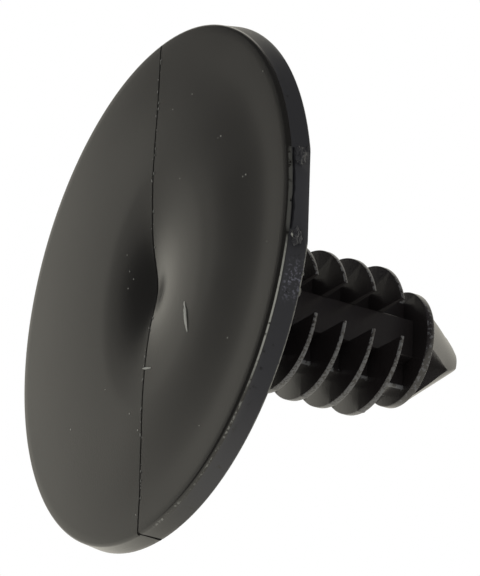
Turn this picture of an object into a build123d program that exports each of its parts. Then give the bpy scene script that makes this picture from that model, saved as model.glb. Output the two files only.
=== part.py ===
from build123d import *
import math
import os

# Plastic push rivet, one moulding
# The origin is at the middle of the head's face, where it stands. +Z runs up the shank to its tip.
# The mould halves pull along Y. Their parting plane holds the X axis and the shank's axis.

# Head
head_diameter = 30.0
head_edge = 1.15            # thickness of the rim
crown = 0.15                # how far the face bulges beyond its edge
crest_radius = 6.6          # where the face is highest, between the rim and the sink mark
sink_depth = 0.6            # sink mark over the thick root of the shank
sink_radius = 4.9
sink_steepness = 0.36       # share of the sink radius at which it is half as deep
edge_round = 0.12           # round between face and rim
near_flat_width = 5.7       # flat on the rim where the moulding was cut from its gate
far_flat_width = 4.0        # smaller flat opposite
root_fillet = 0.4           # between shank and underside

# Shank
spine_width = 2.3           # bar along the axis, across the mould's pull
spine_depth = 3.7           # the same bar, along the mould's pull
web_width = 5.4             # wider web that carries the fins
web_thickness = 1.7
fin_diameter = 8.7
fin_thickness = 0.34
fin_pitch = 1.915
fin_count = 6               # levels, each with a half fin on both sides of the spine
first_fin = 4.45            # head-side face of the first fin, from the face's crest

# Collar and arrow-head tip
collar_diameter = 6.75
collar_thickness = 0.5
collar_gap = 2.03           # clear space between the last fin and the collar
tip_length = 3.5
tip_base_diameter = 6.65
tip_end_diameter = 0.9
tip_rib = 1.5               # rib of the cross in line with the spine
tip_wing = 1.7              # rib of the cross in line with the web

# Sizes that follow
head_radius = head_diameter / 2
underside = crown + head_edge
last_fin = first_fin + (fin_count - 1) * fin_pitch
collar_level = last_fin + fin_thickness + collar_gap
tip_level = collar_level + collar_thickness
fin_radius = fin_diameter / 2


def flat_cut(width):
    """Distance from the axis of a rim flat of this width."""
    return math.sqrt(head_radius ** 2 - (width / 2) ** 2)


# Disc of the head, with its bulged face and the sink mark in the middle
with BuildPart() as head:
    with BuildSketch(Plane.XZ) as section:
        with BuildLine():
            sink = Spline(
                (0, sink_depth),
                (sink_steepness * sink_radius, sink_depth / 2),
                (crest_radius, 0),
                tangents=[(1, 0), (1, 0)],
            )
            face = TangentArc(sink @ 1, (head_radius, crown), tangent=(1, 0))
            rim = Line(face @ 1, (head_radius, underside))
            back = Line(rim @ 1, (0, underside))
            Line(back @ 1, sink @ 0)
        make_face()
        front_corner = section.vertices().group_by(Axis.X)[-1].sort_by(Axis.Y)[0]
        fillet(front_corner, radius=edge_round)
    revolve(axis=Axis.Z)
    # Flats on the rim, at the two ends of the mould's pull
    for width, side in ((near_flat_width, -1), (far_flat_width, 1)):
        with BuildSketch(Plane.XY):
            with Locations((0, side * (flat_cut(width) + head_radius))):
                Rectangle(2 * head_radius, 2 * head_radius)
        extrude(amount=underside, mode=Mode.SUBTRACT)

# Core of the shank, a cross of spine and web, from the head to the collar
with BuildPart() as core:
    with BuildSketch(Plane.XY.offset(underside)):
        Rectangle(spine_width, spine_depth)
        Rectangle(web_width, web_thickness)
    extrude(amount=collar_level - underside)

# Fins: discs cut back to the spine on both sides of the mould's pull, so that the halves can part
with BuildPart() as fins:
    for level in range(fin_count):
        with BuildSketch(Plane.XY.offset(first_fin + level * fin_pitch)):
            Circle(fin_radius)
        extrude(amount=fin_thickness)
    with BuildSketch(Plane.XY.offset(first_fin)):
        for side in (-1, 1):
            with Locations((0, side * (spine_depth / 2 + fin_radius))):
                Rectangle(spine_width, 2 * fin_radius)
    extrude(amount=last_fin + fin_thickness - first_fin, mode=Mode.SUBTRACT)

# Collar, the one full ring, under the tip
with BuildPart() as collar:
    with BuildSketch(Plane.XY.offset(collar_level)):
        Circle(collar_diameter / 2)
    extrude(amount=collar_thickness)

# Arrow-head tip: a blunt cone with four pockets, which leave a cross of rib and wings
with BuildPart() as tip:
    with BuildSketch(Plane.XZ):
        with BuildLine():
            base = Line((0, tip_level), (tip_base_diameter / 2, tip_level))
            slope = Line(base @ 1, (tip_end_diameter / 2, tip_level + tip_length))
            end = Line(slope @ 1, (0, tip_level + tip_length))
            Line(end @ 1, base @ 0)
        make_face()
    revolve(axis=Axis.Z)
    with BuildSketch(Plane.XY.offset(tip_level)):
        Rectangle(tip_rib, collar_diameter)
        Rectangle(collar_diameter, tip_wing)
    extrude(amount=tip_length, mode=Mode.INTERSECT)

# The whole moulding
with BuildPart() as push_rivet:
    add(head.part)
    add(core.part)
    root = push_rivet.edges().filter_by_position(Axis.Z, underside, underside)
    root = root.filter_by(GeomType.LINE).filter_by(lambda edge: edge.center().X ** 2
                                                   + edge.center().Y ** 2 < fin_radius ** 2)
    fillet(root, radius=root_fillet)
    add(fins.part)
    add(collar.part)
    add(tip.part)

push_rivet.part.label = "push_rivet"

os.makedirs("parts", exist_ok=True)
export_step(push_rivet.part, "parts/push_rivet.step")
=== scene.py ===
import math

import bmesh
import bpy
from mathutils import Matrix, Vector, noise


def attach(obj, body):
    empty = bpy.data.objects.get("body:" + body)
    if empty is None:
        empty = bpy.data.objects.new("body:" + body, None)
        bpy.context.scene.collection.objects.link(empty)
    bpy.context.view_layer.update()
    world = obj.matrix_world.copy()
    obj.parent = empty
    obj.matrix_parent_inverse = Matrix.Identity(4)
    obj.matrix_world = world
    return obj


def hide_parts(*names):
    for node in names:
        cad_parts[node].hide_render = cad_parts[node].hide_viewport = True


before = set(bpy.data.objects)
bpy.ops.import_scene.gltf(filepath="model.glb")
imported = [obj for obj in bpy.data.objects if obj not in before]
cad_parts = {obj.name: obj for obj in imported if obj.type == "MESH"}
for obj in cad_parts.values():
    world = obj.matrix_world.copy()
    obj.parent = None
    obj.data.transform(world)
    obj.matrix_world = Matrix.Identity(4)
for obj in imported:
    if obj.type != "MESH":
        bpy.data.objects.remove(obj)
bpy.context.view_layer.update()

# Push rivet in black nylon, moulded in one shot and standing on its head.
# Lengths are in millimetres. The mould halves part in the plane of X and the shank's axis.
MM = 0.001

# Head
head_radius = 15.0
underside = 1.3             # back of the head
crown = 0.15                # how far the face bulges beyond its edge
gate_flat_reach = 14.82     # distance of the gate flat from the axis
far_flat_reach = 14.866     # and of the smaller flat opposite
crest_radius = 7.0          # where the face is highest
sink_depth = 0.65           # sink mark over the thick root of the shank
sink_half_reach = 2.25      # where it is about half as deep
sink_reach = 7.0            # where it ends
sink_crease = 0.5           # how sharply the two mould halves meet in the sink mark
sink_offset = 0.2           # how far its middle lies off the axis, along the seam
sink_steeper_away = 1.3     # how much steeper it is across the seam than along it, away from the gate
sink_steeper_at_gate = 1.1  # the same on the gate's side
along_seam = 0.997          # the head shrank a little more along the seam than across it
face_draw_in = (0.13, 0.13, 0.2)    # how much smaller the rim is at the face: all round, more on one side
face_draw_side = -60.0              # and most in that direction, in degrees from +X
back_spread = 0.12          # how much wider the back of the rim is on the gate's side
back_spread_side = -85.0    # the direction in which that is most
face_round = 0.18           # between face and rim
back_round = 0.08           # between rim and underside
seam_half_width = 0.07
seam_depth = 0.12
seam_wander = 0.05          # how far the seam leaves a straight line
half_steps = 110            # points round each half of the head

# Radii of the rings of points on the face and on the back, and of the plane middle under the shank
face_rings = [0.12 * i for i in range(30)] + [3.6 + 0.4 * i for i in range(1, 28)]
back_rings = (14.0, 12.0, 9.0, 6.0)
back_middle = 1.0

# Shank
overlap = 0.004             # how far a piece passes a plane of its neighbour, so that they cross cleanly
spine_half = (1.15, 1.85)
web_half = (2.7, 0.85)
root_fillet = 0.4
web_round = 0.2             # along the web's outer edges
spine_round = 0.06          # along the spine's edges and in the corners
fin_radius = 4.35
fin_thickness = 0.34
fin_pitch = 1.902
fin_levels = 6
first_fin = 4.42
fin_root_step = 0.003       # how far the step at a fin's root stands off the spine's side
fin_edge = 0.05             # round on a fin's edge
fin_draft = 0.025           # slope of a fin's faces along the mould's pull
fin_flash = 0.04            # how far the parting line stands out of a fin's edge
collar_level = 16.29
collar_thickness = 0.5
collar_radius = 3.375
collar_round = 0.06
tip_base_radius = 3.29
tip_end_half = 0.5          # half of the blunt square end
tip_length = 3.42
tip_rib_half = 0.92
tip_wing_half = 1.0

# Slanting groove that crosses the rim where the seam ends: its two ends, half width and depth
rim_groove = ((head_radius - 0.25, 0.0, -0.1), (head_radius, -0.72, underside + 0.1))
rim_groove_half = 0.34
rim_groove_depth = 0.22

# Narrow groove between the rim's front band and the gate flat: ends, level, half width and depth
gate_groove_ends = (-2.7, 2.0)
gate_groove_level = 0.43
gate_groove_half = 0.07
gate_groove_depth = 0.45

# Crumbs at the gate flat: middle, half sizes, and a number that gives each its own shape
burrs = (((-2.2, -14.8, 0.72), (0.5, 0.17, 0.3), 1.3), ((2.5, -14.8, 0.62), (0.42, 0.2, 0.3), 5.1),
         ((-2.75, -14.8, 1.15), (0.1, 0.06, 0.1), 8.6), ((5.2, -14.15, 1.26), (0.22, 0.07, 0.09), 3.9),
         ((4.3, -14.44, 1.24), (0.12, 0.06, 0.1), 6.4))

# Direction in which the "gate side" of the wear and of the painted highlights is measured
gate_side = (0.42, -0.907, 0)

# Where the plastic is scuffed, and where edges are painted lighter as painted highlights: colour,
# roughness, grain of the scuffs and highlights in millimetres, how much of the place they cover, and the
# steps that bound it (length measured, where they begin, where they are full)
wear_and_painted_highlights = {
    # Arris of face and rim: partly wear, partly a painted highlight where the edge would catch the light
    "worn arris of face and rim with painted highlight": (
        "#62625c", 0.45, 0.22, 0.5,
        (("radius", 14.4, 14.5), ("z", 0.22, 0.25), ("z", 0.35, 0.31), ("gate side", 9.5, 12.5),
         ("x", 2.6, 3.0))),
    # Arris next to the gate: partly wear, partly a painted highlight where the edge would catch the light
    "worn arris next to the gate with painted highlight": (
        "#84847c", 0.45, 0.25, 0.88,
        (("radius", 14.4, 14.5), ("z", 0.22, 0.25), ("z", 0.35, 0.31), ("gate side", 13.7, 14.6),
         ("x", 2.2, 2.5))),
    # Arris at the seam's end: partly wear, partly a painted highlight where the edge would catch the light
    "worn arris at the seam's end with painted highlight": (
        "#6c6c66", 0.45, 0.25, 0.44,
        (("z", 0.16, 0.22), ("z", 0.34, 0.3), ("x", 13.9, 14.3), ("y", -0.4, -1.2))),
    # Front band of the gate flat: scuffed, and painted lighter where the band would catch the light
    "scuffed front band of the gate flat with painted highlight": (
        "#3c3c37", 0.45, 0.3, 0.8,
        (("y", -14.4, -14.5), ("z", 0.14, 0.18), ("z", 0.36, 0.32), ("away from spine", 3.1, 2.7))),
    "cut gate flat": (
        "#222225", 0.5, 0.5, 1.0,
        (("y", -14.75, -14.79), ("z", 0.45, 0.5), ("away from spine", 2.95, 2.3))),
    "rim beside the gate": (
        "#28282b", 0.45, 0.4, 1.0,
        (("radius", 14.4, 14.5), ("z", 0.32, 0.4), ("z", 1.3, 1.25), ("gate side", 7.0, 12.5))),
    "rim above the gate": (
        "#232325", 0.45, 0.4, 1.0,
        (("radius", 14.6, 14.7), ("z", 0.32, 0.4), ("z", 1.3, 1.25), ("x", 0.0, -4.0),
         ("y", -4.0, -9.0))),
    # Back edge of the rim: some wear, and painted lighter as the glint of the round at the silhouette
    "worn back edge of the rim with painted glint": (
        "#56564f", 0.45, 0.3, 0.6,
        (("radius", 14.9, 14.94), ("z", 1.19, 1.23), ("gate side", 11.0, 14.0), ("x", 2.6, 3.0))),
    "scratches on the rim": (
        "#55555e", 0.4, 0.12, 0.42,
        (("radius", 14.5, 14.6), ("z", 0.4, 0.6), ("x", 3.3, 4.4), ("x", 6.0, 4.9),
         ("gate side", 13.9, 14.4))),
    # Fin edges: chipped and rough, and painted lighter as a painted highlight along the edge
    "chipped fin edges with painted highlight": (
        "#484848", 0.45, 0.16, 0.6,
        (("radius", 4.31, 4.34), ("z", 3.6, 4.0), ("z", 15.4, 15.0))),
    # Painted highlight: the web's outer edges are painted light as the glints they catch from above
    # between the fins
    "painted highlight on the web's edges": (
        "#5c5c5c", 0.3, 0.5, 0.6,
        (("away from spine", 2.5, 2.58), ("away from spine", 2.8, 2.74), ("off parting", 0.6, 0.7),
         ("off parting", 0.95, 0.9), ("z", 3.6, 4.2))),
    # Painted highlight along the collar's rounded edge
    "painted highlight on the collar's edge": (
        "#454547", 0.4, 0.2, 0.4,
        (("radius", 3.34, 3.37), ("z", 16.0, 16.2), ("z", 16.9, 16.8))),
}

# Flash along the seam: how far out it reaches, and how much of the middle is free of it
flash_reach = 14.4
flash_free = 1.5

# Specks of dust on the face (X, Y), and the lint fibre and the chip that lie on it
dust_places = (
    (-2.7, 2.7), (-1.6, 2.4), (-1.0, 2.0), (-0.6, 2.5), (-6.1, -7.1), (-6.1, -7.4), (-10.1, -3.9),
    (-10.0, -1.8), (-8.3, -11.6), (6.3, -8.9), (2.1, -12.6), (7.3, 1.4), (8.6, 0.4), (13.5, 0.3),
    (6.0, 8.4), (-2.7, -10.2), (-2.7, -9.9), (4.9, 4.4), (-5.2, -3.1), (10.4, -6.2))
lint_half = 0.12
lint_line = ((2.6, -4.2), (3.1, -4.36), (3.6, -4.46), (4.05, -4.58), (4.55, -4.72))
chip_half = 0.07
chip_line = ((5.02, 0.22), (5.15, -0.2), (5.3, -0.72))

# Finish
head_black = "#141310"
# Painted light: the shank's black is a little lighter than the head's, standing in for fill light in its
# shaded pockets
shank_black_painted_lighter = "#1b1818"
head_roughness = 0.24
shank_roughness = 0.25
gloss_drift = 0.03          # how far the roughness strays
gloss_patch = 4.0           # size of the patches in which it strays
mould_texture = 0.12        # size of the grains that the mould's texture leaves
texture_height = 0.01

# Camera of the photograph
camera_place = (80.34, -162.06, -87.64)
camera_aim = (0.042, -2.468, 4.463)
camera_turn = 105.12        # degrees about its own axis
camera_lens = 272.6         # for a sensor 36 mm wide

# Studio
backdrop_direction = (0.454, 0.518, 0.724)
backdrop_edge = (-0.155, 0.05)      # cosines between which the backdrop fades into the room
backdrop_colour = "#fffbee"
room_colour = "#3e3d40"
floor_colour = "#f0f0ee"
floor_half = 400.0
floor_drop = 0.01           # how far the floor lies below the head's face


# Plain helpers

def linear(colour):
    """Linear colour of an sRGB hex value."""
    parts = (int(colour[i:i + 2], 16) / 255 for i in (1, 3, 5))
    return tuple(p / 12.92 if p <= 0.04045 else ((p + 0.055) / 1.055) ** 2.4 for p in parts) + (1.0,)


def smooth(low, high, value):
    """Soft step from 0 at low to 1 at high."""
    share = min(1.0, max(0.0, (value - low) / (high - low)))
    return share * share * (3 - 2 * share)


def put(name, mesh):
    """A new object in the scene for a mesh in metres."""
    piece = bpy.data.objects.new(name, mesh)
    bpy.context.scene.collection.objects.link(piece)
    return piece


def from_bmesh(name, work):
    """A mesh object from work in millimetres, with its faces outwards."""
    bmesh.ops.remove_doubles(work, verts=work.verts, dist=1e-5)
    bmesh.ops.recalc_face_normals(work, faces=work.faces)
    bmesh.ops.scale(work, vec=(MM, MM, MM), verts=work.verts)
    mesh = bpy.data.meshes.new(name)
    work.to_mesh(mesh)
    work.free()
    return put(name, mesh)


def skin(work, loops, close_start=True, close_end=True):
    """Faces between closed loops of the same number of points."""
    rows = [[work.verts.new(point) for point in loop] for loop in loops]
    count = len(rows[0])
    for lower, upper in zip(rows, rows[1:]):
        for i in range(count):
            k = (i + 1) % count
            work.faces.new((lower[i], lower[k], upper[k], upper[i]))
    if close_start:
        work.faces.new(rows[0])
    if close_end:
        work.faces.new(list(reversed(rows[-1])))


def add_node(tree, kind, settings=(), values=(), links=()):
    """One node with its settings, its sockets' values and the links into them."""
    node = tree.nodes.new(kind)
    for name, value in dict(settings).items():
        setattr(node, name, value)
    for name, value in dict(values).items():
        node.inputs[name].default_value = value
    for name, source in dict(links).items():
        tree.links.new(source, node.inputs[name])
    return node


def plain_mesh(piece):
    """The piece's mesh with its modifiers carried out."""
    bpy.context.view_layer.update()
    seen = piece.evaluated_get(bpy.context.evaluated_depsgraph_get())
    return bpy.data.meshes.new_from_object(seen)


# Head

def sink_section(reach):
    """Share of the sink mark's depth at this distance from its middle."""
    bell = 1 / (1 + (reach / sink_half_reach) ** 2.2)
    return bell - 1 / (1 + (sink_reach / sink_half_reach) ** 2.2) if reach < sink_reach else 0.0


def face_height(x, y):
    """How far the face lies behind the plane that the head stands on."""
    radius = math.hypot(x, y)
    across = abs(y) * (sink_steeper_away if y > 0 else sink_steeper_at_gate) + sink_crease
    hollow = sink_section(math.hypot(x - sink_offset, across)) / sink_section(sink_crease)
    far_side = smooth(0.0, 0.5, y / radius) if radius else 0.0
    crest = crest_radius - 1.5 * far_side
    even = crown * max(0.0, (radius - crest) / (head_radius - crest)) ** 2
    lipped = crown * (0.9 * smooth(crest_radius, 12.4, radius) - 0.2 * smooth(12.0, 14.6, radius))
    near_gate = smooth(-0.8, 0.5, -y / radius) if radius else 0.0
    return sink_depth * hollow + even + (lipped - even) * near_gate


def wander(x, y):
    """Sideways drift of the seam, which dies out away from it."""
    drift = noise.noise(Vector((x * 0.5, 3.7, 0.0))) + 0.5 * noise.noise(Vector((x * 2.1, 9.1, 0.0)))
    return seam_wander * drift * math.exp(-abs(y))


def drawn_in(angle, share):
    """Factor that makes the head smaller at the face, and a little wider at its back."""
    even, more, most = face_draw_in
    turn = math.cos(angle - math.radians(face_draw_side))
    less = even + more * turn + most * max(0.0, turn) ** 4
    wider = back_spread * max(0.0, math.cos(angle - math.radians(back_spread_side)))
    return 1 - (share * less - (1 - share) * wider) / head_radius


def head_loop(share, level, seam_in, seam_back, draft):
    """One loop of the head's skin: two half circles, with a sunken point between them for the seam."""
    loop = []
    for side in (-1, 1):
        ends = range(half_steps + 1) if side < 0 else range(half_steps, -1, -1)
        for i in ends:
            angle = math.pi * i / half_steps
            fit = drawn_in(side * angle, draft)
            x = head_radius * share * math.cos(angle) * along_seam * fit
            y = side * (seam_half_width + (head_radius - seam_half_width) * share * math.sin(angle)) * fit
            height = level(x, y) if callable(level) else level
            loop.append(Vector((x, y + wander(x, y), height)))
        fit = drawn_in(0.0 if side > 0 else math.pi, draft)
        end = side * head_radius * share * along_seam * fit
        # The seam is sunk in the rim only at -X. At +X the slanting groove takes its place.
        x = end + seam_in if end < 0 else end
        height = level(x, 0.0) if callable(level) else level
        loop.append(Vector((x, wander(x, 0.0), height + seam_back)))
    return loop


def cut_flat(work, distance, side):
    """Cuts the rim flat and closes the head there."""
    everything = work.verts[:] + work.edges[:] + work.faces[:]
    bmesh.ops.bisect_plane(work, geom=everything, dist=1e-6, plane_co=(0, side * distance, 0),
                           plane_no=(0, side, 0), clear_outer=True)
    bmesh.ops.holes_fill(work, edges=[e for e in work.edges if e.is_boundary], sides=0)


def make_head():
    """Skin of the head from the middle of its face over the rim to its back."""
    loops = []
    for radius in face_rings:
        share = radius / head_radius
        loops.append(head_loop(share, face_height, 0.0, seam_depth, smooth(0.6, 1.0, share)))
    # Round between face and rim
    for i in range(7):
        angle = math.radians(15 * i)
        share = 1 - face_round * (1 - math.sin(angle)) / head_radius
        rise = face_round * (1 - math.cos(angle))
        loops.append(head_loop(share, lambda x, y: face_height(x, y) + rise,
                               seam_depth * math.sin(angle), seam_depth * math.cos(angle), 1.0))
    # Rim, which leans outwards towards the back
    for i in range(1, 6):
        level = crown + face_round + (underside - crown - face_round - back_round) * i / 5
        loops.append(head_loop(1.0, level, seam_depth * (1 - 0.5 * i / 5), 0.0, 1 - i / 5))
    # Round between rim and back, and the back with its seam
    for i in range(1, 4):
        angle = math.radians(30 * i)
        share = 1 - back_round * (1 - math.cos(angle)) / head_radius
        level = underside - back_round * (1 - math.sin(angle))
        loops.append(head_loop(share, level, seam_depth * 0.5 * math.cos(angle),
                               -seam_depth * 0.5 * math.sin(angle), 0.0))
    for radius in back_rings:
        loops.append(head_loop(radius / head_radius, underside, 0.0, -seam_depth * 0.5, 0.0))
    loops.append(head_loop(back_middle / head_radius, underside, 0.0, 0.0, 0.0))
    work = bmesh.new()
    skin(work, loops, close_start=False)
    bmesh.ops.remove_doubles(work, verts=work.verts, dist=1e-5)
    cut_flat(work, gate_flat_reach, -1)
    cut_flat(work, far_flat_reach, 1)
    return from_bmesh("head", work)


def make_burr(place, size, seed):
    """Ragged crumb of plastic that the gate cutter left."""
    work = bmesh.new()
    bmesh.ops.create_icosphere(work, subdivisions=4, radius=1.0)
    for vert in work.verts:
        ragged = (1 + 0.4 * noise.noise(vert.co * 1.9 + Vector((seed, 0, 0)))
                  + 0.3 * noise.noise(vert.co * 4.5 + Vector((0, seed, 0))))
        vert.co = Vector(c + v * half * ragged for c, v, half in zip(place, vert.co, size))
    return from_bmesh("burr", work)


def make_rim_groove():
    """Cutter for the slanting groove that crosses the rim where the seam ends."""
    front, back = (Vector(end) for end in rim_groove)
    outside = 0.4
    steps = 12
    loops = []
    for i in range(steps + 1):
        place = front.lerp(back, i / steps)
        half = rim_groove_half * (1 + 0.3 * noise.noise(Vector((i * 0.7, 2.0, 4.0))))
        section = ((-rim_groove_depth, 0, 0), (outside, -half, 0), (outside, half, 0))
        loops.append([place + Vector(offset) for offset in section])
    work = bmesh.new()
    skin(work, loops)
    return from_bmesh("rim groove", work)


def make_gate_groove():
    """Cutter for the ragged narrow groove between the rim's front band and the gate flat."""
    outside, bottom = -gate_flat_reach - 0.3, -gate_flat_reach + gate_groove_depth
    start, end = gate_groove_ends
    steps = 37
    loops = []
    for i in range(steps + 1):
        x = (end - start) * i / steps + start
        level = gate_groove_level + 0.05 * noise.noise(Vector((x * 1.7, 6.0, 1.0)))
        half = gate_groove_half * (1 + 0.6 * noise.noise(Vector((x * 2.3, 0.4, 2.0))))
        section = ((outside, level - half * 1.6), (bottom, level - half * 0.5),
                   (bottom, level + half * 0.5), (outside, level + half * 1.6))
        loops.append([Vector((x, y, z)) for y, z in section])
    work = bmesh.new()
    skin(work, loops)
    return from_bmesh("gate groove", work)


# Shank

def cross(spine, web, grow=0.0):
    """Outline of the spine and the web that crosses it."""
    a, b = spine[0] + grow, spine[1] + grow
    c, t = web[0] + grow, web[1] + grow
    quarter = [(c, t), (a, t), (a, b)]
    points = quarter[:]
    points += [(-x, y) for x, y in reversed(quarter)]
    points += [(-x, -y) for x, y in quarter]
    points += [(x, -y) for x, y in reversed(quarter)]
    return points


def round_edges(work, edges, radius, segments=3):
    """Rounds these edges."""
    bmesh.ops.bevel(work, geom=edges, offset=radius, segments=segments, profile=0.5,
                    affect="EDGES", clamp_overlap=True)


def make_core():
    """Spine and web, with a fillet at the head."""
    loops = [[Vector((x, y, underside - 0.3)) for x, y in cross(spine_half, web_half, root_fillet)]]
    for i in range(7):
        angle = math.radians(15 * i)
        grow = root_fillet * (1 - math.sin(angle))
        level = underside + overlap + root_fillet * (1 - math.cos(angle))
        loops.append([Vector((x, y, level)) for x, y in cross(spine_half, web_half, grow)])
    loops.append([Vector((x, y, collar_level + 0.2)) for x, y in cross(spine_half, web_half)])
    work = bmesh.new()
    skin(work, loops)
    bmesh.ops.recalc_face_normals(work, faces=work.faces)
    for low, high, radius in ((2.5, 4.0, web_round), (0.0, 2.5, spine_round)):
        upright = [e for e in work.edges
                   if abs(e.verts[0].co.z - e.verts[1].co.z) > 1e-4 and e.calc_face_angle(0) > 0.5
                   and low < max(abs(v.co.x) for v in e.verts) < high]
        round_edges(work, upright, radius)
    return from_bmesh("core", work)


def make_fin():
    """Half a fin: a disc's segment, rooted in the spine and thinning away from the parting plane."""
    inner = spine_half[0] + fin_root_step
    reach = math.acos(inner / fin_radius)
    count = 64
    outline = []
    for i in range(count + 1):
        angle = -reach + 2 * reach * i / count
        radius = fin_radius + (fin_flash if i == count // 2 else 0.0)
        outline.append((radius * math.cos(angle), radius * math.sin(angle)))
    outline += [(inner, spine_half[1] - 0.1), (0.6, 0.6), (0.6, 0.0), (0.6, -0.6),
                (inner, -spine_half[1] + 0.1)]
    work = bmesh.new()
    rows = []
    for side in (-1, 1):
        row = []
        for x, y in outline:
            half = fin_thickness / 2 + (fin_radius / 2 - abs(y)) * fin_draft
            row.append(work.verts.new((x, y, fin_thickness / 2 + side * half)))
        rows.append(row)
    total, middle, back = len(outline), count // 2, count + 3
    for i in range(total):
        k = (i + 1) % total
        work.faces.new((rows[0][i], rows[0][k], rows[1][k], rows[1][i]))
    for row in rows:
        work.faces.new(row[middle:back + 1])
        work.faces.new(row[back:] + row[:middle + 1])
    bmesh.ops.recalc_face_normals(work, faces=work.faces)
    edges = [e for e in work.edges
             if abs(e.verts[0].co.z - e.verts[1].co.z) < 0.1 and e.calc_face_angle(0) > 1
             and max(v.co.xy.length for v in e.verts) > 3]
    round_edges(work, edges, fin_edge, 2)
    return from_bmesh("fin", work)


def fin_levels_tree(finish):
    """Node tree that sets a half fin on both sides of the spine at every level."""
    tree = bpy.data.node_groups.new("fin levels", "GeometryNodeTree")
    face = tree.interface
    face.new_socket("Half fin", in_out="INPUT", socket_type="NodeSocketGeometry")
    levels = face.new_socket("Levels", in_out="INPUT", socket_type="NodeSocketInt")
    first = face.new_socket("First level", in_out="INPUT", socket_type="NodeSocketVector")
    pitch = face.new_socket("Pitch", in_out="INPUT", socket_type="NodeSocketVector")
    face.new_socket("Fins", in_out="OUTPUT", socket_type="NodeSocketGeometry")
    given = add_node(tree, "NodeGroupInput")
    line = add_node(tree, "GeometryNodeMeshLine", {"mode": "OFFSET"}, links={
        "Count": given.outputs["Levels"],
        "Start Location": given.outputs["First level"],
        "Offset": given.outputs["Pitch"],
    })
    both = add_node(tree, "GeometryNodeJoinGeometry")
    for turn in (0.0, math.pi):
        side = add_node(tree, "GeometryNodeInstanceOnPoints", values={"Rotation": (0.0, 0.0, turn)},
                        links={"Points": line.outputs["Mesh"], "Instance": given.outputs["Half fin"]})
        tree.links.new(side.outputs["Instances"], both.inputs["Geometry"])
    real = add_node(tree, "GeometryNodeRealizeInstances", links={"Geometry": both.outputs["Geometry"]})
    dressed = add_node(tree, "GeometryNodeSetMaterial", values={"Material": finish},
                       links={"Geometry": real.outputs["Geometry"]})
    add_node(tree, "NodeGroupOutput", links={"Fins": dressed.outputs["Geometry"]})
    return tree, {levels.identifier: fin_levels,
                  first.identifier: (0.0, 0.0, first_fin * MM),
                  pitch.identifier: (0.0, 0.0, fin_pitch * MM)}


def make_fins(finish):
    """All half fins as one plain mesh."""
    piece = make_fin()
    tree, sizes = fin_levels_tree(finish)
    modifier = piece.modifiers.new("fin levels", "NODES")
    modifier.node_group = tree
    for identifier, value in sizes.items():
        modifier[identifier] = value
    plain = plain_mesh(piece)
    bpy.data.objects.remove(piece)
    return put("fins", plain)


def make_collar():
    """Full ring under the tip."""
    count = 128
    turns = [2 * math.pi * i / count for i in range(count)]
    ring = [(collar_radius * math.cos(turn), collar_radius * math.sin(turn)) for turn in turns]
    loops = [[Vector((x, y, level)) for x, y in ring]
             for level in (collar_level, collar_level + collar_thickness)]
    work = bmesh.new()
    skin(work, loops)
    bmesh.ops.recalc_face_normals(work, faces=work.faces)
    edges = [e for e in work.edges if e.calc_face_angle(0) > 1]
    round_edges(work, edges, collar_round)
    return from_bmesh("collar", work)


def tip_reach(angle, radius, squareness):
    """Distance of the tip's outer skin from the axis: round at the collar, square at the end."""
    return radius / max(abs(math.cos(angle)), abs(math.sin(angle))) ** squareness


def tip_point(angle, radius, squareness):
    """Point of the tip's outer skin in this direction."""
    reach = tip_reach(angle, radius, squareness)
    return reach * math.cos(angle), reach * math.sin(angle)


def meeting_angle(radius, squareness, inside):
    """Angle in the first quarter at which the skin leaves a rib or wing."""
    low, high = 0.0, math.pi / 2
    for _ in range(40):
        middle = (low + high) / 2
        if inside(*tip_point(middle, radius, squareness)):
            low = middle
        else:
            high = middle
    return low


def tip_outline(radius, squareness, along=10):
    """Section of the tip: its outer skin cut down to the rib and the two wings."""
    corner = math.atan2(tip_wing_half, tip_rib_half)
    if tip_reach(corner, radius, squareness) > math.hypot(tip_rib_half, tip_wing_half):
        wing_end = meeting_angle(radius, squareness, lambda x, y: y < tip_wing_half)
        rib_end = meeting_angle(radius, squareness, lambda x, y: x > tip_rib_half)
        inner = (tip_rib_half, tip_wing_half)
    else:
        wing_end = rib_end = corner
        inner = tip_point(corner, radius, squareness)
    on_wing = [wing_end * i / along for i in range(along + 1)]
    on_rib = [rib_end + (math.pi / 2 - rib_end) * i / along for i in range(along + 1)]
    quarter = [tip_point(angle, radius, squareness) for angle in on_wing]
    quarter.append(inner)
    quarter += [tip_point(angle, radius, squareness) for angle in on_rib]
    points = quarter[:]
    points += [(-x, y) for x, y in reversed(quarter[:-1])]
    points += [(-x, -y) for x, y in quarter[1:]]
    points += [(x, -y) for x, y in reversed(quarter[1:-1])]
    return points


def make_tip():
    """Arrow-head with four pockets: round at the collar, blunt and square at its end."""
    base = collar_level + collar_thickness
    loops = [[Vector((x, y, base - 0.2)) for x, y in tip_outline(tip_base_radius, 0.0)]]
    steps = 24
    for i in range(steps + 1):
        share = i / steps
        radius = tip_base_radius + (tip_end_half - tip_base_radius) * share
        outline = tip_outline(radius, 0.5 * smooth(0.5, 1.0, share))
        loops.append([Vector((x, y, base + max(overlap, tip_length * share))) for x, y in outline])
    work = bmesh.new()
    skin(work, loops)
    return from_bmesh("tip", work)


def in_order(mesh):
    """The same mesh with its points and faces in a fixed order, which the solver doesn't keep to."""
    order = sorted(range(len(mesh.vertices)), key=lambda i: mesh.vertices[i].co[:])
    rank = {old: new for new, old in enumerate(order)}
    faces = []
    for polygon in mesh.polygons:
        ring = [rank[i] for i in polygon.vertices]
        start = ring.index(min(ring))
        faces.append(ring[start:] + ring[:start])
    ordered = bpy.data.meshes.new("joined")
    ordered.from_pydata([mesh.vertices[i].co for i in order], [], sorted(faces))
    return ordered


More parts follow.
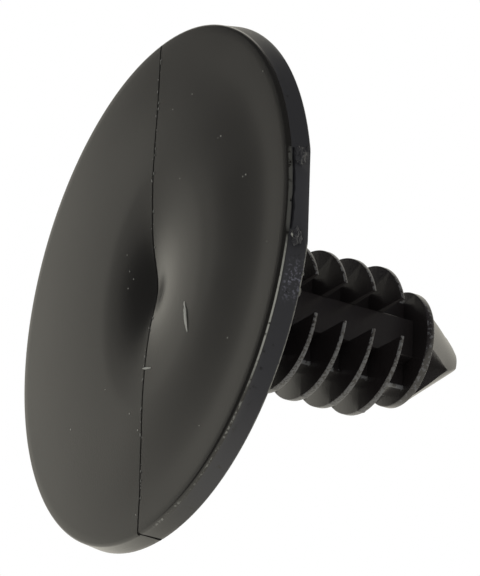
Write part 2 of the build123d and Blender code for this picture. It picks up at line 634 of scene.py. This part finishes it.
def united(pieces, cutters=()):
    """One closed skin of the pieces that run into each other, less the cutters.

    They are joined at millimetre size, because at metre size the solver leaves gaps.
    """
    for piece in [*pieces, *cutters]:
        piece.data.transform(Matrix.Scale(1 / MM, 4))
    whole = pieces[0]
    for other in [*cutters, *pieces[1:]]:
        cut = whole.modifiers.new("join", "BOOLEAN")
        cut.operation = "DIFFERENCE" if other in cutters else "UNION"
        cut.solver = "EXACT"
        cut.object = other
        mesh = plain_mesh(whole)
        whole.modifiers.remove(cut)
        whole.data = mesh
        bpy.data.objects.remove(other)
    work = bmesh.new()
    work.from_mesh(in_order(whole.data))
    bmesh.ops.remove_doubles(work, verts=work.verts, dist=1e-4)
    bmesh.ops.triangulate(work, faces=work.faces)
    bmesh.ops.scale(work, vec=(MM, MM, MM), verts=work.verts)
    work.to_mesh(whole.data)
    work.free()
    return whole


# Finish

def places_on_rivet(tree, place):
    """The lengths by which the wear and the painted highlights are bounded, in metres."""
    parts = add_node(tree, "ShaderNodeSeparateXYZ", links={"Vector": place})
    x, y, z = (parts.outputs[axis] for axis in "XYZ")
    flat = add_node(tree, "ShaderNodeCombineXYZ", links={"X": x, "Y": y})
    radius = add_node(tree, "ShaderNodeVectorMath", {"operation": "LENGTH"}, links={0: flat.outputs[0]})
    lengths = {"x": x, "y": y, "z": z, "radius": radius.outputs["Value"]}
    for name, axis in (("away from spine", x), ("off parting", y)):
        size = add_node(tree, "ShaderNodeMath", {"operation": "ABSOLUTE"}, links={0: axis})
        lengths[name] = size.outputs[0]
    towards = add_node(tree, "ShaderNodeVectorMath", {"operation": "DOT_PRODUCT"}, {1: gate_side},
                       {0: place})
    lengths["gate side"] = towards.outputs["Value"]
    return lengths


def scuffs_and_painted_highlights(tree, place, lengths, tone, gloss):
    """Colour and roughness, changed at the places in the table of wear and painted highlights."""
    for colour, roughness, grain, cover, steps in wear_and_painted_highlights.values():
        scuff_and_highlight_grain = add_node(tree, "ShaderNodeTexNoise", values={"Scale": 1 / (grain * MM), "Detail": 4.0},
                          links={"Vector": place})
        mask = add_node(tree, "ShaderNodeMapRange", {"interpolation_type": "SMOOTHSTEP"},
                        {"From Min": 0.72 - cover / 2, "From Max": 0.86 - cover / 2},
                        {"Value": scuff_and_highlight_grain.outputs["Fac"]}).outputs["Result"]
        for length, start, full in steps:
            step = add_node(tree, "ShaderNodeMapRange", {"interpolation_type": "SMOOTHSTEP"},
                            {"From Min": start * MM, "From Max": full * MM}, {"Value": lengths[length]})
            mask = add_node(tree, "ShaderNodeMath", {"operation": "MULTIPLY"},
                            links={0: mask, 1: step.outputs["Result"]}).outputs[0]
        worn_and_highlighted_tone = add_node(tree, "ShaderNodeMix", {"data_type": "RGBA"}, links={0: mask, 6: tone})
        worn_and_highlighted_tone.inputs[7].default_value = linear(colour)
        tone = worn_and_highlighted_tone.outputs[2]
        gloss = add_node(tree, "ShaderNodeMix", {"data_type": "FLOAT"}, {3: roughness},
                         {0: mask, 2: gloss}).outputs[0]
    return tone, gloss


def black_nylon():
    """Black polyamide, injection moulded. It gives a dark body under a soft broad gloss.

    The mould's fine texture softens the gloss, and scuffed places are grey and matt. Some edges are
    painted lighter as painted highlights, and the shank is painted a little lighter than the head as
    painted fill light.
    """
    finish = bpy.data.materials.new("black moulded nylon")
    finish.use_nodes = True
    tree = finish.node_tree
    tree.nodes.clear()
    place = add_node(tree, "ShaderNodeTexCoord").outputs["Object"]
    lengths = places_on_rivet(tree, place)
    # The head's cavity is polished a little finer than the shank's. The shank's tone is painted a little
    # lighter
    #     than the head's: painted fill light in its shaded pockets between the fins.
    on_shank = add_node(tree, "ShaderNodeMapRange",
                        values={"From Min": underside * MM, "From Max": (underside + 0.2) * MM},
                        links={"Value": lengths["z"]}).outputs["Result"]
    tone = add_node(tree, "ShaderNodeMix", {"data_type": "RGBA"}, links={0: on_shank})
    tone.inputs[6].default_value = linear(head_black)
    tone.inputs[7].default_value = linear(shank_black_painted_lighter)
    gloss = add_node(tree, "ShaderNodeMix", {"data_type": "FLOAT"},
                     {2: head_roughness, 3: shank_roughness}, {0: on_shank})
    # Slow drift of the gloss where the melt cooled unevenly
    cloud = add_node(tree, "ShaderNodeTexNoise", values={"Scale": 1 / (gloss_patch * MM), "Detail": 2.0},
                     links={"Vector": place})
    drift = add_node(tree, "ShaderNodeMapRange", values={"To Min": -gloss_drift, "To Max": gloss_drift},
                     links={"Value": cloud.outputs["Fac"]})
    gloss = add_node(tree, "ShaderNodeMath", {"operation": "ADD"},
                     links={0: gloss.outputs[0], 1: drift.outputs["Result"]})
    tone, gloss = scuffs_and_painted_highlights(tree, place, lengths, tone.outputs[2], gloss.outputs[0])
    # Spark-eroded texture of the mould, drawn about twice as coarse as the real 0.05 mm so that it shows
    texture = add_node(tree, "ShaderNodeTexNoise",
                       values={"Scale": 1 / (mould_texture * MM), "Detail": 3.0}, links={"Vector": place})
    relief = add_node(tree, "ShaderNodeBump", values={"Strength": 0.45, "Distance": texture_height * MM},
                      links={"Height": texture.outputs["Fac"]})
    shader = add_node(tree, "ShaderNodeBsdfPrincipled", values={"IOR": 1.55},
                      links={"Base Color": tone, "Normal": relief.outputs["Normal"], "Roughness": gloss})
    add_node(tree, "ShaderNodeOutputMaterial", links={"Surface": shader.outputs["BSDF"]})
    return finish


def pale_crumbs(name, pale, dark, grain):
    """Matt crumbs, mottled between two tones: stress-whitened nylon, or lint and dust."""
    finish = bpy.data.materials.new(name)
    finish.use_nodes = True
    tree = finish.node_tree
    tree.nodes.clear()
    place = add_node(tree, "ShaderNodeTexCoord").outputs["Object"]
    mottle = add_node(tree, "ShaderNodeTexNoise", values={"Scale": 1 / (grain * MM), "Detail": 3.0},
                      links={"Vector": place})
    tone = add_node(tree, "ShaderNodeMix", {"data_type": "RGBA"}, links={0: mottle.outputs["Fac"]})
    tone.inputs[6].default_value = linear(dark)
    tone.inputs[7].default_value = linear(pale)
    relief = add_node(tree, "ShaderNodeBump", values={"Strength": 0.5, "Distance": texture_height * MM},
                      links={"Height": mottle.outputs["Fac"]})
    shader = add_node(tree, "ShaderNodeBsdfPrincipled", values={"IOR": 1.53, "Roughness": 0.7},
                      links={"Base Color": tone.outputs[2], "Normal": relief.outputs["Normal"]})
    add_node(tree, "ShaderNodeOutputMaterial", links={"Surface": shader.outputs["BSDF"]})
    return finish


def make_rivet():
    """The whole moulding, in place of the solid."""
    finish = black_nylon()
    pieces = [make_head(), make_core(), make_fins(finish), make_collar(), make_tip()]
    pieces += [make_burr(*burr) for burr in burrs]
    rivet = united(pieces, [make_rim_groove(), make_gate_groove()])
    rivet.name = "moulded_rivet"
    mesh = rivet.data
    mesh.materials.clear()
    mesh.materials.append(finish)
    for polygon in mesh.polygons:
        polygon.material_index = 0
    mesh.shade_smooth()
    mesh.set_sharp_from_angle(angle=math.radians(32))
    weighted = rivet.modifiers.new("even shading", "WEIGHTED_NORMAL")
    weighted.keep_sharp = True
    weighted.weight = 80
    rivet.data = plain_mesh(rivet)
    rivet.modifiers.clear()
    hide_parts("push_rivet")
    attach(rivet, "root")
    return rivet


# Studio

def set_camera():
    """Camera of the photograph, a little below the head's face and turned on its side."""
    place = Vector(camera_place) * MM
    aim = Vector(camera_aim) * MM
    forward = (aim - place).normalized()
    level = forward.cross(Vector((0, 0, 1))).normalized()
    above = level.cross(forward)
    turn = math.radians(camera_turn)
    right = level * math.cos(turn) + above * math.sin(turn)
    up = right.cross(forward)
    data = bpy.data.cameras.new("camera")
    data.sensor_fit = "HORIZONTAL"
    data.sensor_width = 36.0
    data.lens = camera_lens
    data.clip_start = 0.01
    data.clip_end = 20.0
    camera = bpy.data.objects.new("camera", data)
    axes = Matrix((right, up, -forward)).transposed().to_4x4()
    camera.matrix_world = Matrix.Translation(place) @ axes
    bpy.context.scene.collection.objects.link(camera)
    bpy.context.scene.camera = camera


def set_world():
    """White backdrop behind and above the part, and a dim room in front of it."""
    world = bpy.data.worlds.new("studio")
    bpy.context.scene.world = world
    world.use_nodes = True
    tree = world.node_tree
    tree.nodes.clear()
    ray = add_node(tree, "ShaderNodeLightPath")
    direction = add_node(tree, "ShaderNodeTexCoord").outputs["Generated"]
    facing = add_node(tree, "ShaderNodeVectorMath", {"operation": "DOT_PRODUCT"})
    tree.links.new(direction, facing.inputs[0])
    facing.inputs[1].default_value = backdrop_direction
    spread = add_node(tree, "ShaderNodeMapRange", {"interpolation_type": "SMOOTHSTEP"},
                      {"From Min": backdrop_edge[0], "From Max": backdrop_edge[1]},
                      {"Value": facing.outputs["Value"]})
    tint = add_node(tree, "ShaderNodeMix", {"data_type": "RGBA"}, links={0: spread.outputs["Result"]})
    tint.inputs[6].default_value = linear(room_colour)
    tint.inputs[7].default_value = linear(backdrop_colour)
    around = add_node(tree, "ShaderNodeBackground", links={"Color": tint.outputs[2]})
    white = add_node(tree, "ShaderNodeBackground", values={"Color": (1, 1, 1, 1), "Strength": 1.0})
    fill = add_node(tree, "ShaderNodeBackground", values={"Color": (1, 1, 1, 1), "Strength": 1.0})
    soft = add_node(tree, "ShaderNodeMixShader", links={"Fac": ray.outputs["Is Glossy Ray"]})
    tree.links.new(fill.outputs[0], soft.inputs[1])
    tree.links.new(around.outputs[0], soft.inputs[2])
    mix = add_node(tree, "ShaderNodeMixShader", links={"Fac": ray.outputs["Is Camera Ray"]})
    tree.links.new(soft.outputs[0], mix.inputs[1])
    tree.links.new(white.outputs[0], mix.inputs[2])
    add_node(tree, "ShaderNodeOutputWorld", links={"Surface": mix.outputs[0]})


def make_floor():
    """Pale table top under the head. It shows only from above, because the photograph looks up past it."""
    half, level = floor_half * MM, -floor_drop * MM
    mesh = bpy.data.meshes.new("floor")
    corners = [(-half, -half, level), (half, -half, level), (half, half, level), (-half, half, level)]
    mesh.from_pydata(corners, [], [(0, 1, 2, 3)])
    floor = put("floor", mesh)
    finish = bpy.data.materials.new("matt white board")
    finish.use_nodes = True
    tree = finish.node_tree
    tree.nodes.clear()
    side = add_node(tree, "ShaderNodeNewGeometry").outputs["Backfacing"]
    board = add_node(tree, "ShaderNodeBsdfDiffuse", values={"Color": linear(floor_colour)})
    clear = add_node(tree, "ShaderNodeBsdfTransparent")
    mix = add_node(tree, "ShaderNodeMixShader", links={"Fac": side})
    tree.links.new(board.outputs[0], mix.inputs[1])
    tree.links.new(clear.outputs[0], mix.inputs[2])
    add_node(tree, "ShaderNodeOutputMaterial", links={"Surface": mix.outputs[0]})
    mesh.materials.append(finish)
    # The face rests on it and is lit as if it were free, as in the photograph
    floor.visible_glossy = False
    floor.visible_diffuse = False
    floor.visible_transmission = False
    floor.visible_shadow = False


def crumb(size, seed):
    """One small ragged grain, in metres about its own middle."""
    work = bmesh.new()
    bmesh.ops.create_icosphere(work, subdivisions=2, radius=1.0)
    for vert in work.verts:
        ragged = 1 + 0.5 * noise.noise(vert.co * 1.6 + Vector((seed, 0, 0)))
        vert.co = Vector(v * half * ragged for v, half in zip(vert.co, size))
    return from_bmesh("crumb", work)


def crumbs_tree(grain, finish):
    """Node tree that sets one grain, turned and sized at random, on some of a line's points."""
    tree = bpy.data.node_groups.new("crumbs along a line", "GeometryNodeTree")
    face = tree.interface
    face.new_socket("Line", in_out="INPUT", socket_type="NodeSocketGeometry")
    share = face.new_socket("Share of points", in_out="INPUT", socket_type="NodeSocketFloat")
    least = face.new_socket("Smallest", in_out="INPUT", socket_type="NodeSocketFloat")
    most = face.new_socket("Largest", in_out="INPUT", socket_type="NodeSocketFloat")
    face.new_socket("Crumbs", in_out="OUTPUT", socket_type="NodeSocketGeometry")
    given = add_node(tree, "NodeGroupInput")
    shape = add_node(tree, "GeometryNodeObjectInfo", values={"Object": grain})
    chosen = add_node(tree, "FunctionNodeRandomValue", {"data_type": "BOOLEAN"}, {"Seed": 5})
    tree.links.new(given.outputs["Share of points"], chosen.inputs["Probability"])
    turn = add_node(tree, "FunctionNodeRandomValue", {"data_type": "FLOAT_VECTOR"}, {"Seed": 8})
    turn.inputs[0].default_value = (-0.3, -0.3, -0.5)
    turn.inputs[1].default_value = (0.3, 0.3, 0.5)
    size = add_node(tree, "FunctionNodeRandomValue", {"data_type": "FLOAT"}, {"Seed": 11})
    tree.links.new(given.outputs["Smallest"], size.inputs[2])
    tree.links.new(given.outputs["Largest"], size.inputs[3])
    set_down = add_node(tree, "GeometryNodeInstanceOnPoints", links={
        "Points": given.outputs["Line"],
        "Selection": chosen.outputs[3],
        "Instance": shape.outputs["Geometry"],
        "Rotation": turn.outputs[0],
        "Scale": size.outputs[1],
    })
    real = add_node(tree, "GeometryNodeRealizeInstances",
                    links={"Geometry": set_down.outputs["Instances"]})
    dressed = add_node(tree, "GeometryNodeSetMaterial", values={"Material": finish},
                       links={"Geometry": real.outputs["Geometry"]})
    add_node(tree, "NodeGroupOutput", links={"Crumbs": dressed.outputs["Geometry"]})
    return tree, {share.identifier: 0.3, least.identifier: 0.4, most.identifier: 1.4}


def make_seam_flash():
    """Slivers of flash, whitened where they bent, that cling to the seam across the face."""
    finish = pale_crumbs("whitened nylon flash", "#8f8f88", "#3c3c3a", 0.08)
    grain = crumb((0.075, 0.028, 0.025), 4.2)
    mesh = bpy.data.meshes.new("seam line")
    points = []
    steps = 149
    for i in range(steps + 1):
        x = flash_reach * (2 * i / steps - 1)
        side = math.copysign(seam_half_width + 0.03, noise.noise(Vector((x * 3.3, 0.2, 0.7))))
        if abs(x) > flash_free:
            height = face_height(x, side) - 0.004
            points.append(Vector((x, side + wander(x, 0.0), height)) * MM)
    mesh.from_pydata(points, [], [])
    line = put("seam line", mesh)
    tree, sizes = crumbs_tree(grain, finish)
    modifier = line.modifiers.new("crumbs", "NODES")
    modifier.node_group = tree
    for identifier, value in sizes.items():
        modifier[identifier] = value
    flash = put("seam_flash", plain_mesh(line))
    bpy.data.objects.remove(line)
    bpy.data.objects.remove(grain)
    return flash


def fibre(line, thick, seed):
    """A bent fibre with tapering ends that lies along a line on the face."""
    round_steps, steps = 6, 26
    loops = []
    spans = len(line) - 1
    for i in range(steps + 1):
        share = i / steps * spans
        k = min(int(share), spans - 1)
        here = Vector(line[k]).lerp(Vector(line[k + 1]), share - k)
        ahead = (Vector(line[min(k + 1, spans)]) - Vector(line[max(k, 0)])).normalized()
        half = thick * (0.35 + 0.65 * math.sin(math.pi * i / steps))
        half *= 1 + 0.5 * noise.noise(Vector((share * 2.3, seed, 0)))
        across = Vector((-ahead.y, ahead.x))
        low = face_height(here.x, here.y) - 0.3 * half
        loop = []
        for j in range(round_steps):
            angle = 2 * math.pi * j / round_steps
            side = here + across * half * math.cos(angle)
            loop.append(Vector((side.x, side.y, low + 0.6 * half * math.sin(angle))))
        loops.append(loop)
    work = bmesh.new()
    skin(work, loops)
    return from_bmesh("fibre", work)


def make_dust():
    """Specks of dust, one lint fibre and one pale chip on the face."""
    finish = pale_crumbs("pale lint and dust", "#a9a9a0", "#5f5f5a", 0.06)
    pieces = [fibre(lint_line, lint_half, 1.0), fibre(chip_line, chip_half, 7.0)]
    for number, (x, y) in enumerate(dust_places):
        size = 0.022 + 0.02 * (noise.noise(Vector((number * 1.7, 0.3, 0.9))) + 0.5)
        speck = crumb((size * 1.2, size, size * 0.6), number * 2.3)
        speck.data.transform(Matrix.Translation(Vector((x, y, face_height(x, y))) * MM))
        pieces.append(speck)
    work = bmesh.new()
    for piece in pieces:
        work.from_mesh(piece.data)
        bpy.data.objects.remove(piece)
    mesh = bpy.data.meshes.new("surface_dust")
    work.to_mesh(mesh)
    work.free()
    mesh.materials.append(finish)
    return put("surface_dust", mesh)


def dress(piece):
    """Smooth shading, and the body that the piece moves with."""
    piece.data.shade_smooth()
    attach(piece, "root")


scene = bpy.context.scene
scene.view_settings.view_transform = "Standard"
set_camera()
set_world()
make_floor()
make_rivet()
dress(make_seam_flash())
dress(make_dust())
